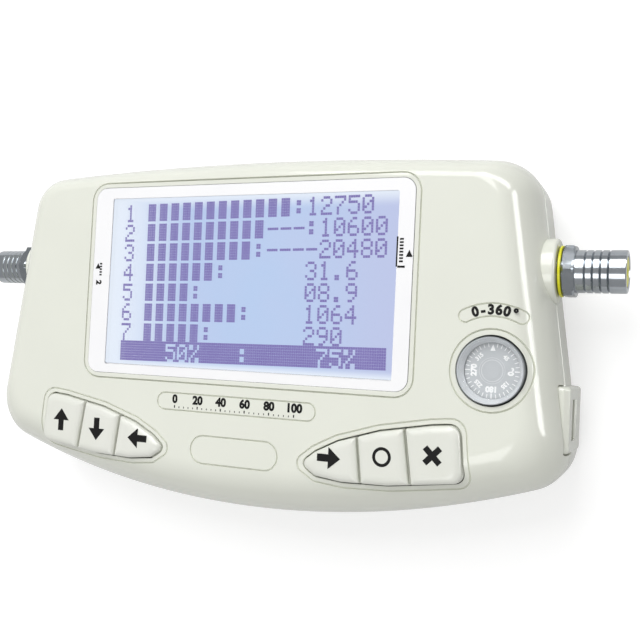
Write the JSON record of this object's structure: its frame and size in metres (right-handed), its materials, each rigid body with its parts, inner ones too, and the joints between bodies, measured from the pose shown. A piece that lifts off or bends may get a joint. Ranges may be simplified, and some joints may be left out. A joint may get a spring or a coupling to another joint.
{
  "type": "satellite signal meter",
  "caption": "Handheld satellite signal meter with a lit display, two swept key clusters, a compass and a threaded coaxial connector on each side.",
  "frame": {"origin": "on the surface under the meter, at the middle of its box, with the meter lying on its feet", "axes": "+Z out of the display, +X to the display's right, +Y to the display's top"},
  "size_m": [0.1764, 0.087, 0.0327],
  "materials": {
    "case_plastic": "satin off-white moulding",
    "clear_panel": "clear acrylic",
    "frame_metal": "tinned sheet",
    "display_glass": "lit display glass",
    "diffuser": "milky diffuser",
    "board_laminate": "solder mask",
    "dark_plastic": "moulded black",
    "ribbon_plastic": "flat cable film",
    "compass_grey": "satin grey",
    "compass_card": "printed grey card",
    "pivot_brass": "turned brass",
    "capacitor_sleeve": "shrink sleeve",
    "screw_steel": "zinc plated",
    "key_plastic": "satin off-white keys",
    "connector_plate": "nickel plated",
    "yellow_plastic": "yellow insulator",
    "foot_rubber": "soft grey rubber"
  },
  "bodies": {
    "meter": {"board_screw_1": "screw_steel", "board_screw_2": "screw_steel", "buzzer": "dark_plastic", "capacitor_1": "capacitor_sleeve", "capacitor_2": "capacitor_sleeve", "case_screw_1": "screw_steel", "case_screw_2": "screw_steel", "case_screw_3": "screw_steel", "case_screw_4": "screw_steel", "compass_cup": "compass_grey", "compass_lens": "clear_panel", "compass_pivot": "pivot_brass", "connector_body_left": "connector_plate", "connector_body_right": "connector_plate", "connector_contact_left": "pivot_brass", "connector_contact_right": "pivot_brass", "connector_insulator_left": "yellow_plastic", "connector_insulator_right": "yellow_plastic", "connector_ring_left": "yellow_plastic", "connector_ring_right": "yellow_plastic", "foot_1": "foot_rubber", "foot_2": "foot_rubber", "foot_3": "foot_rubber", "foot_4": "foot_rubber", "front_case": "case_plastic", "key_board": "board_laminate", "key_board_screw_1": "screw_steel", "key_board_screw_2": "screw_steel", "key_ribbon": "ribbon_plastic", "lcd_backlight": "diffuser", "lcd_board": "board_laminate", "lcd_frame": "frame_metal", "lcd_glass": "display_glass", "lcd_header": "dark_plastic", "main_board": "board_laminate", "power_coil": "dark_plastic", "processor": "dark_plastic", "rear_case": "case_plastic", "switch_down": "dark_plastic", "switch_exit": "dark_plastic", "switch_left": "dark_plastic", "switch_ok": "dark_plastic", "switch_right": "dark_plastic", "switch_up": "dark_plastic", "tuner_can": "frame_metal", "window_panel": "clear_panel"},
    "up_key": {"key_up": "key_plastic", "plunger_up": "dark_plastic"},
    "down_key": {"key_down": "key_plastic", "plunger_down": "dark_plastic"},
    "left_key": {"key_left": "key_plastic", "plunger_left": "dark_plastic"},
    "right_key": {"key_right": "key_plastic", "plunger_right": "dark_plastic"},
    "ok_key": {"key_ok": "key_plastic", "plunger_ok": "dark_plastic"},
    "exit_key": {"key_exit": "key_plastic", "plunger_exit": "dark_plastic"},
    "compass_dial": {"compass_card": "compass_card"}
  },
  "joints": [
    {"name": "up_press", "type": "slide", "parent": "meter", "child": "up_key", "axis": [0, 0, -1], "range_m": [0, 0.0008], "stiffness_N_per_m": 1500},
    {"name": "down_press", "type": "slide", "parent": "meter", "child": "down_key", "axis": [0, 0, -1], "range_m": [0, 0.0008], "stiffness_N_per_m": 1500},
    {"name": "left_press", "type": "slide", "parent": "meter", "child": "left_key", "axis": [0, 0, -1], "range_m": [0, 0.0008], "stiffness_N_per_m": 1500},
    {"name": "right_press", "type": "slide", "parent": "meter", "child": "right_key", "axis": [0, 0, -1], "range_m": [0, 0.0008], "stiffness_N_per_m": 1500},
    {"name": "ok_press", "type": "slide", "parent": "meter", "child": "ok_key", "axis": [0, 0, -1], "range_m": [0, 0.0008], "stiffness_N_per_m": 1500},
    {"name": "exit_press", "type": "slide", "parent": "meter", "child": "exit_key", "axis": [0, 0, -1], "range_m": [0, 0.0008], "stiffness_N_per_m": 1500},
    {"name": "compass_turn", "type": "hinge", "parent": "meter", "child": "compass_dial", "pos_m": [0.0624, -0.0059, 0.0287], "axis": [0, 0, 1], "continuous": true}
  ]
}
